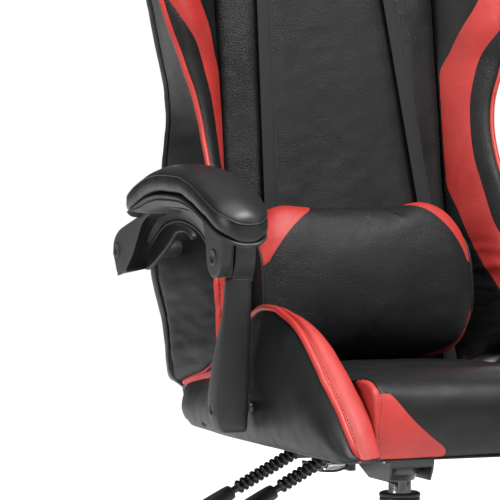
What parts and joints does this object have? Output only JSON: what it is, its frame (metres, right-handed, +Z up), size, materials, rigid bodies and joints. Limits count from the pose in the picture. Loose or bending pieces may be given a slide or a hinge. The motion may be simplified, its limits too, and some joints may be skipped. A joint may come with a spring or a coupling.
{
  "type": "gaming chair",
  "caption": "High-backed swivel chair with side bolsters, curved linked armrests, lumbar and head pillows, and a star base on twin-wheel casters.",
  "frame": {"origin": "on the floor under the middle of the chair's box", "axes": "+Z up, the sitter looks along -Y, +X is the sitter's left"},
  "size_m": [0.7268, 0.7249, 1.2298],
  "materials": {
    "black_upholstery": "satin",
    "red_upholstery": "satin",
    "pillow_upholstery": "satin",
    "pad_upholstery": "gloss",
    "nylon": "matte",
    "wheel_nylon": "satin",
    "black_steel": "satin",
    "polished_steel": "polished",
    "sleeve_rubber": "satin",
    "webbing": "matte",
    "board": "matte"
  },
  "bodies": {
    "base": {"star_base": "nylon", "gas_tube": "black_steel", "tube_bush": "nylon"},
    "caster_1": {"caster_hood_1": "nylon"},
    "wheel_1_a": {"caster_wheel_1_a": "wheel_nylon"},
    "wheel_1_b": {"caster_wheel_1_b": "wheel_nylon"},
    "caster_2": {"caster_hood_2": "nylon"},
    "wheel_2_a": {"caster_wheel_2_a": "wheel_nylon"},
    "wheel_2_b": {"caster_wheel_2_b": "wheel_nylon"},
    "caster_3": {"caster_hood_3": "nylon"},
    "wheel_3_a": {"caster_wheel_3_a": "wheel_nylon"},
    "wheel_3_b": {"caster_wheel_3_b": "wheel_nylon"},
    "caster_4": {"caster_hood_4": "nylon"},
    "wheel_4_a": {"caster_wheel_4_a": "wheel_nylon"},
    "wheel_4_b": {"caster_wheel_4_b": "wheel_nylon"},
    "caster_5": {"caster_hood_5": "nylon"},
    "wheel_5_a": {"caster_wheel_5_a": "wheel_nylon"},
    "wheel_5_b": {"caster_wheel_5_b": "wheel_nylon"},
    "column": {"piston_rod": "polished_steel"},
    "seat": {"gas_cylinder": "polished_steel", "column_socket": "black_steel", "mechanism_channel": "black_steel", "seat_plate": "black_steel", "lever_bracket": "black_steel", "seat_board": "board", "seat_cushion": "black_upholstery", "seat_bolster_left": "red_upholstery", "seat_bolster_right": "red_upholstery", "seat_bracket_left": "black_steel", "seat_bracket_right": "black_steel", "arm_front_mount_left": "black_steel", "arm_front_mount_right": "black_steel"},
    "release": {"release_pin": "polished_steel"},
    "lift_lever": {"lift_lever_rod": "black_steel", "lift_lever_sleeve": "sleeve_rubber", "lift_lever_paddle": "nylon"},
    "recline_lever": {"recline_lever_rod": "black_steel", "recline_lever_sleeve": "sleeve_rubber", "recline_lever_paddle": "nylon"},
    "backrest": {"back_cushion": "black_upholstery", "back_wing_left": "red_upholstery", "back_wing_right": "red_upholstery", "back_board": "board", "back_shell": "black_upholstery", "back_bracket_left": "black_steel", "back_bracket_right": "black_steel", "arm_rear_mount_left": "black_steel", "arm_rear_mount_right": "black_steel", "harness_trim_left": "nylon", "harness_trim_right": "nylon", "strap_left": "webbing", "strap_right": "webbing"},
    "lumbar": {"lumbar_pillow": "pillow_upholstery"},
    "head": {"head_pillow": "pillow_upholstery"},
    "post_left": {"arm_post_left": "nylon"},
    "arm_left": {"arm_body_left": "nylon", "arm_pad_left": "pad_upholstery"},
    "post_right": {"arm_post_right": "nylon"},
    "arm_right": {"arm_body_right": "nylon", "arm_pad_right": "pad_upholstery"}
  },
  "joints": [
    {"name": "caster_1_swivel", "type": "hinge", "parent": "base", "child": "caster_1", "pos_m": [0, 0.3065, 0.07], "axis": [0, 0, 1], "continuous": true},
    {"name": "wheel_1_a_spin", "type": "hinge", "parent": "caster_1", "child": "wheel_1_a", "pos_m": [0, 0.3285, 0.028], "axis": [1, 0, 0], "continuous": true},
    {"name": "wheel_1_b_spin", "type": "hinge", "parent": "caster_1", "child": "wheel_1_b", "pos_m": [0, 0.3285, 0.028], "axis": [1, 0, 0], "continuous": true},
    {"name": "caster_2_swivel", "type": "hinge", "parent": "base", "child": "caster_2", "pos_m": [-0.30244, 0.08677, 0.07], "axis": [0, 0, 1], "continuous": true},
    {"name": "wheel_2_a_spin", "type": "hinge", "parent": "caster_2", "child": "wheel_2_a", "pos_m": [-0.32336, 0.09357, 0.028], "axis": [0.309, 0.9511, 0], "continuous": true},
    {"name": "wheel_2_b_spin", "type": "hinge", "parent": "caster_2", "child": "wheel_2_b", "pos_m": [-0.32336, 0.09357, 0.028], "axis": [0.309, 0.9511, 0], "continuous": true},
    {"name": "caster_3_swivel", "type": "hinge", "parent": "base", "child": "caster_3", "pos_m": [-0.18692, -0.26877, 0.07], "axis": [0, 0, 1], "continuous": true},
    {"name": "wheel_3_a_spin", "type": "hinge", "parent": "caster_3", "child": "wheel_3_a", "pos_m": [-0.19985, -0.28657, 0.028], "axis": [-0.809, 0.5878, 0], "continuous": true},
    {"name": "wheel_3_b_spin", "type": "hinge", "parent": "caster_3", "child": "wheel_3_b", "pos_m": [-0.19985, -0.28657, 0.028], "axis": [-0.809, 0.5878, 0], "continuous": true},
    {"name": "caster_4_swivel", "type": "hinge", "parent": "base", "child": "caster_4", "pos_m": [0.18692, -0.26877, 0.07], "axis": [0, 0, 1], "continuous": true},
    {"name": "wheel_4_a_spin", "type": "hinge", "parent": "caster_4", "child": "wheel_4_a", "pos_m": [0.19985, -0.28657, 0.028], "axis": [-0.809, -0.5878, 0], "continuous": true},
    {"name": "wheel_4_b_spin", "type": "hinge", "parent": "caster_4", "child": "wheel_4_b", "pos_m": [0.19985, -0.28657, 0.028], "axis": [-0.809, -0.5878, 0], "continuous": true},
    {"name": "caster_5_swivel", "type": "hinge", "parent": "base", "child": "caster_5", "pos_m": [0.30244, 0.08677, 0.07], "axis": [0, 0, 1], "continuous": true},
    {"name": "wheel_5_a_spin", "type": "hinge", "parent": "caster_5", "child": "wheel_5_a", "pos_m": [0.32336, 0.09357, 0.028], "axis": [0.309, -0.9511, 0], "continuous": true},
    {"name": "wheel_5_b_spin", "type": "hinge", "parent": "caster_5", "child": "wheel_5_b", "pos_m": [0.32336, 0.09357, 0.028], "axis": [0.309, -0.9511, 0], "continuous": true},
    {"name": "column_swivel", "type": "hinge", "parent": "base", "child": "column", "pos_m": [0, -0.0115, 0.2], "axis": [0, 0, 1], "continuous": true},
    {"name": "seat_lift", "type": "slide", "parent": "column", "child": "seat", "axis": [0, 0, 1], "range_m": [-0.01, 0.075]},
    {"name": "lift_lever_hinge", "type": "hinge", "parent": "seat", "child": "lift_lever", "pos_m": [-0.0275, -0.0115, 0.361], "axis": [0, 1, 0], "range_deg": [0, 8], "stiffness_Nm_per_rad": 1.5, "springref_deg": -5.73},
    {"name": "release_pin_slide", "type": "slide", "parent": "seat", "child": "release", "axis": [0, 0, -1], "range_m": [0, 0.0047]},
    {"name": "recline_lever_hinge", "type": "hinge", "parent": "seat", "child": "recline_lever", "pos_m": [-0.09, 0.0635, 0.361], "axis": [0, 1, 0], "range_deg": [0, 10], "stiffness_Nm_per_rad": 1.5, "springref_deg": -5.73},
    {"name": "recline", "type": "hinge", "parent": "seat", "child": "backrest", "pos_m": [0, 0.1805, 0.428], "axis": [-1, 0, 0], "range_deg": [0, 36]},
    {"name": "lumbar_slide", "type": "slide", "parent": "backrest", "child": "lumbar", "axis": [0, 0.1564, 0.9877], "range_m": [0, 0.12]},
    {"name": "head_slide", "type": "slide", "parent": "backrest", "child": "head", "axis": [0, -0.1564, -0.9877], "range_m": [0, 0.04]},
    {"name": "post_left_pivot", "type": "hinge", "parent": "seat", "child": "post_left", "pos_m": [0, -0.1415, 0.431], "axis": [-1, 0, 0], "range_deg": [0, 36]},
    {"name": "arm_left_pivot", "type": "hinge", "parent": "post_left", "child": "arm_left", "pos_m": [0, -0.1615, 0.605], "axis": [-1, 0, 0], "range_deg": [-36, 0]},
    {"name": "post_right_pivot", "type": "hinge", "parent": "seat", "child": "post_right", "pos_m": [0, -0.1415, 0.431], "axis": [-1, 0, 0], "range_deg": [0, 36]},
    {"name": "arm_right_pivot", "type": "hinge", "parent": "post_right", "child": "arm_right", "pos_m": [0, -0.1615, 0.605], "axis": [-1, 0, 0], "range_deg": [-36, 0]}
  ],
  "couplings": [
    {"joint": "release_pin_slide", "follows": "lift_lever_hinge", "m_per_rad": 0.032},
    {"joint": "post_left_pivot", "follows": "recline", "ratio": 1},
    {"joint": "arm_left_pivot", "follows": "recline", "ratio": -1},
    {"joint": "post_right_pivot", "follows": "recline", "ratio": 1},
    {"joint": "arm_right_pivot", "follows": "recline", "ratio": -1}
  ]
}
